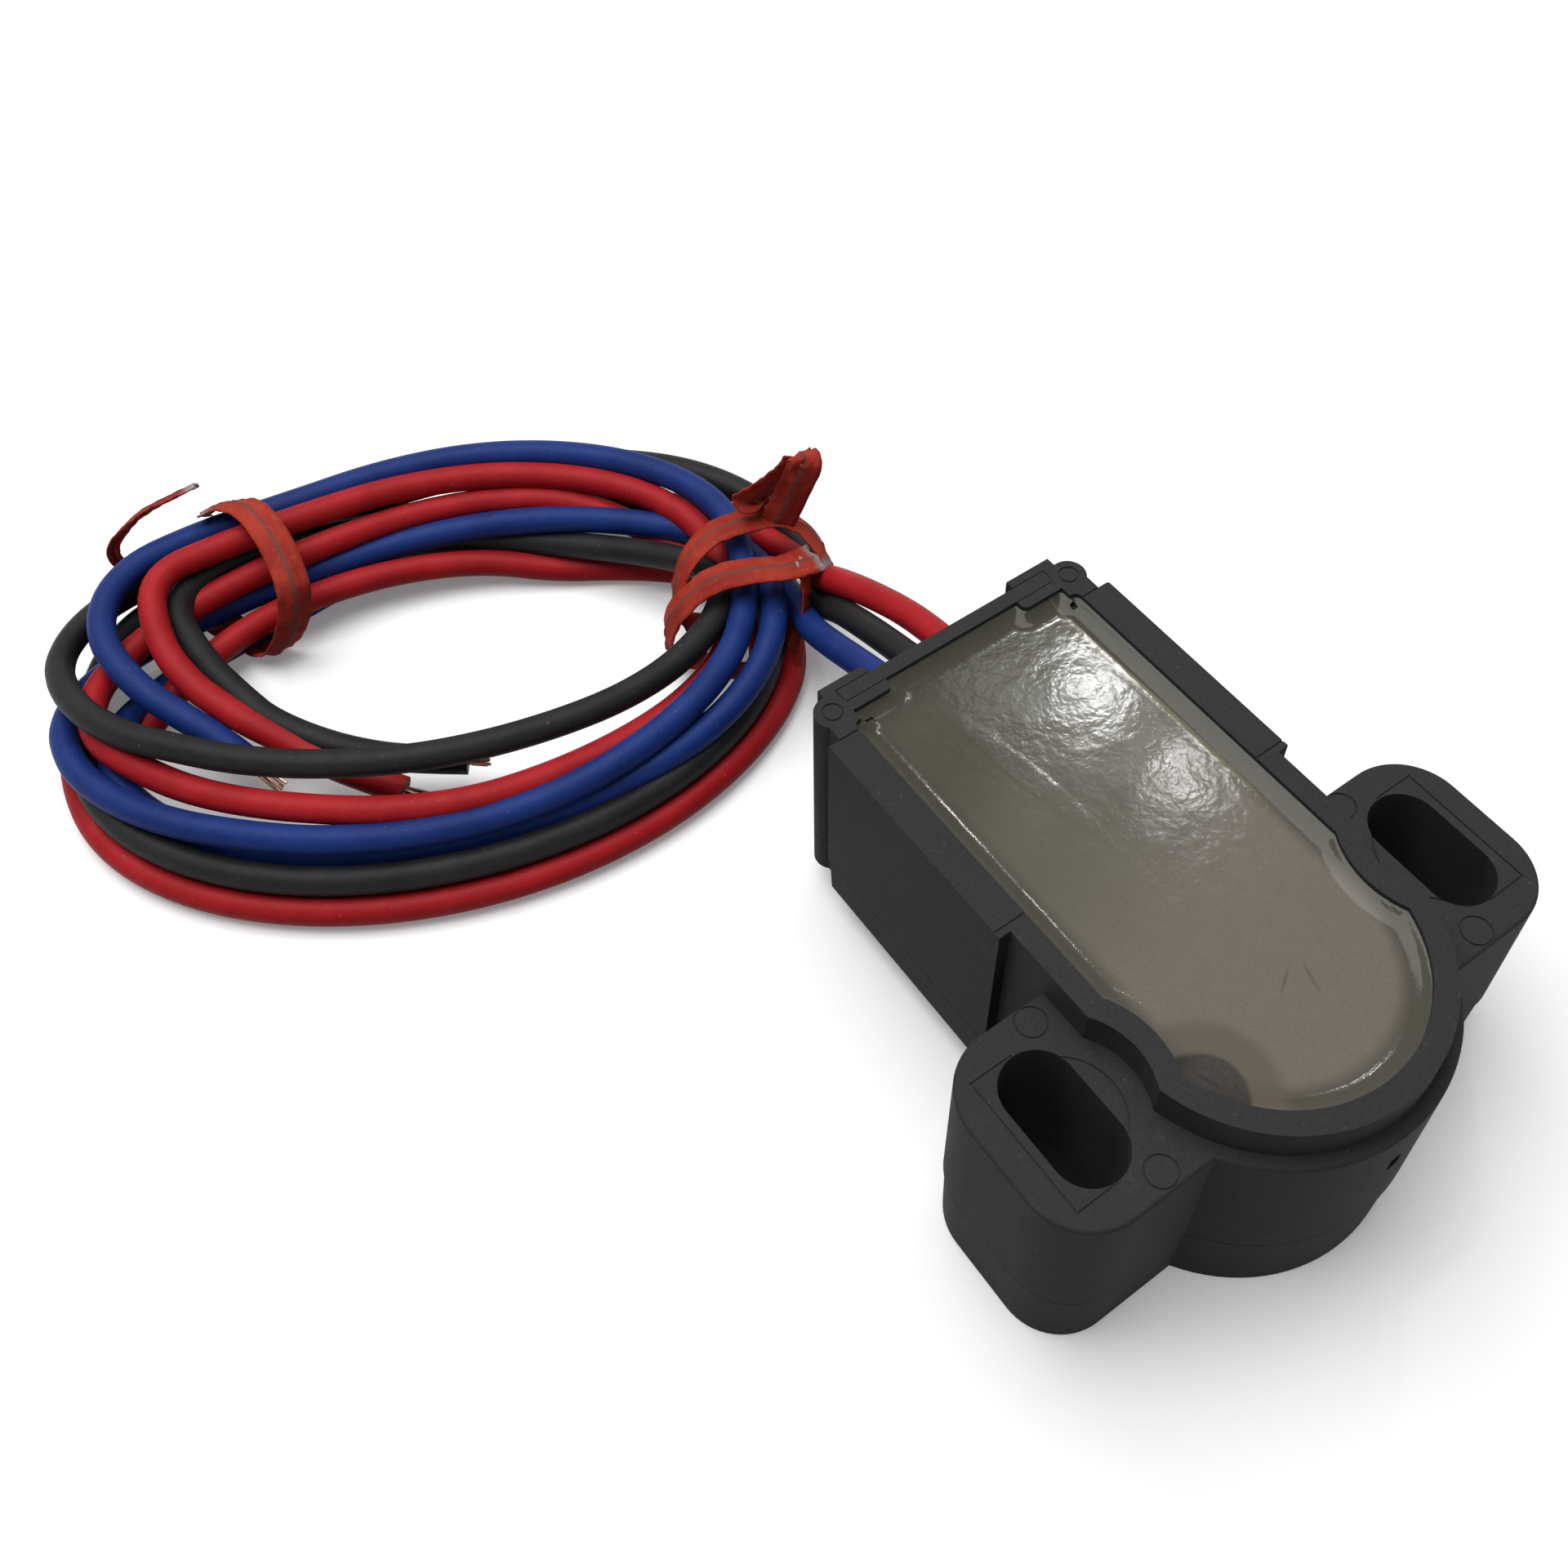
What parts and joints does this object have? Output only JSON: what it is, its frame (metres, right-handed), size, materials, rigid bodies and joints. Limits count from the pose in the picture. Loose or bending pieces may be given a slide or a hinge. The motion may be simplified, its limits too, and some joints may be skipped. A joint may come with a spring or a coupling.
{
  "type": "steering angle sensor",
  "caption": "Potted rotary angle sensor: cup housing with slotted mounting ears, a keyed rotor under the cup and a tied coil of coloured leads.",
  "frame": {"origin": "on the rotor axis in the plane of the mounting face", "axes": "+Z from the mounting face to the open cup, X from ear to ear, +Y towards the leads"},
  "size_m": [0.0704, 0.0874, 0.0184],
  "materials": {
    "housing": "mould texture",
    "wire_retainer": "cut edge",
    "potting": "cast, glossy",
    "circuit_board": "solder mask",
    "hall_chip": "moulded",
    "supply_capacitor": "ceramic",
    "output_capacitor": "ceramic",
    "output_resistor": "ceramic",
    "surge_diode": "moulded",
    "solder_joints": "solder",
    "rotor": "moulded",
    "magnet": "nickel plated",
    "rotor_retainer": "stamped",
    "thrust_washer": "stamped",
    "seal_ring": "moulded",
    "lead_red": "extruded",
    "lead_black": "extruded",
    "lead_blue": "extruded",
    "wire_coil": "extruded",
    "twist_tie_left": "paper over wire",
    "twist_tie_right": "paper over wire"
  },
  "bodies": {
    "sensor_body": {"housing": "housing", "wire_retainer": "wire_retainer", "potting": "potting", "circuit_board": "circuit_board", "hall_chip": "hall_chip", "supply_capacitor": "supply_capacitor", "output_capacitor": "output_capacitor", "output_resistor": "output_resistor", "surge_diode": "surge_diode", "solder_joints": "solder_joints", "rotor_retainer": "rotor_retainer", "thrust_washer": "thrust_washer", "seal_ring": "seal_ring", "lead_red": "lead_red", "lead_black": "lead_black", "lead_blue": "lead_blue", "wire_coil": "wire_coil", "twist_tie_left": "twist_tie_left", "twist_tie_right": "twist_tie_right"},
    "rotor": {"rotor": "rotor", "magnet": "magnet"}
  },
  "joints": [
    {"name": "rotor_turn", "type": "hinge", "parent": "sensor_body", "child": "rotor", "pos_m": [0, 0, 0], "axis": [0, 0, 1], "continuous": true}
  ]
}
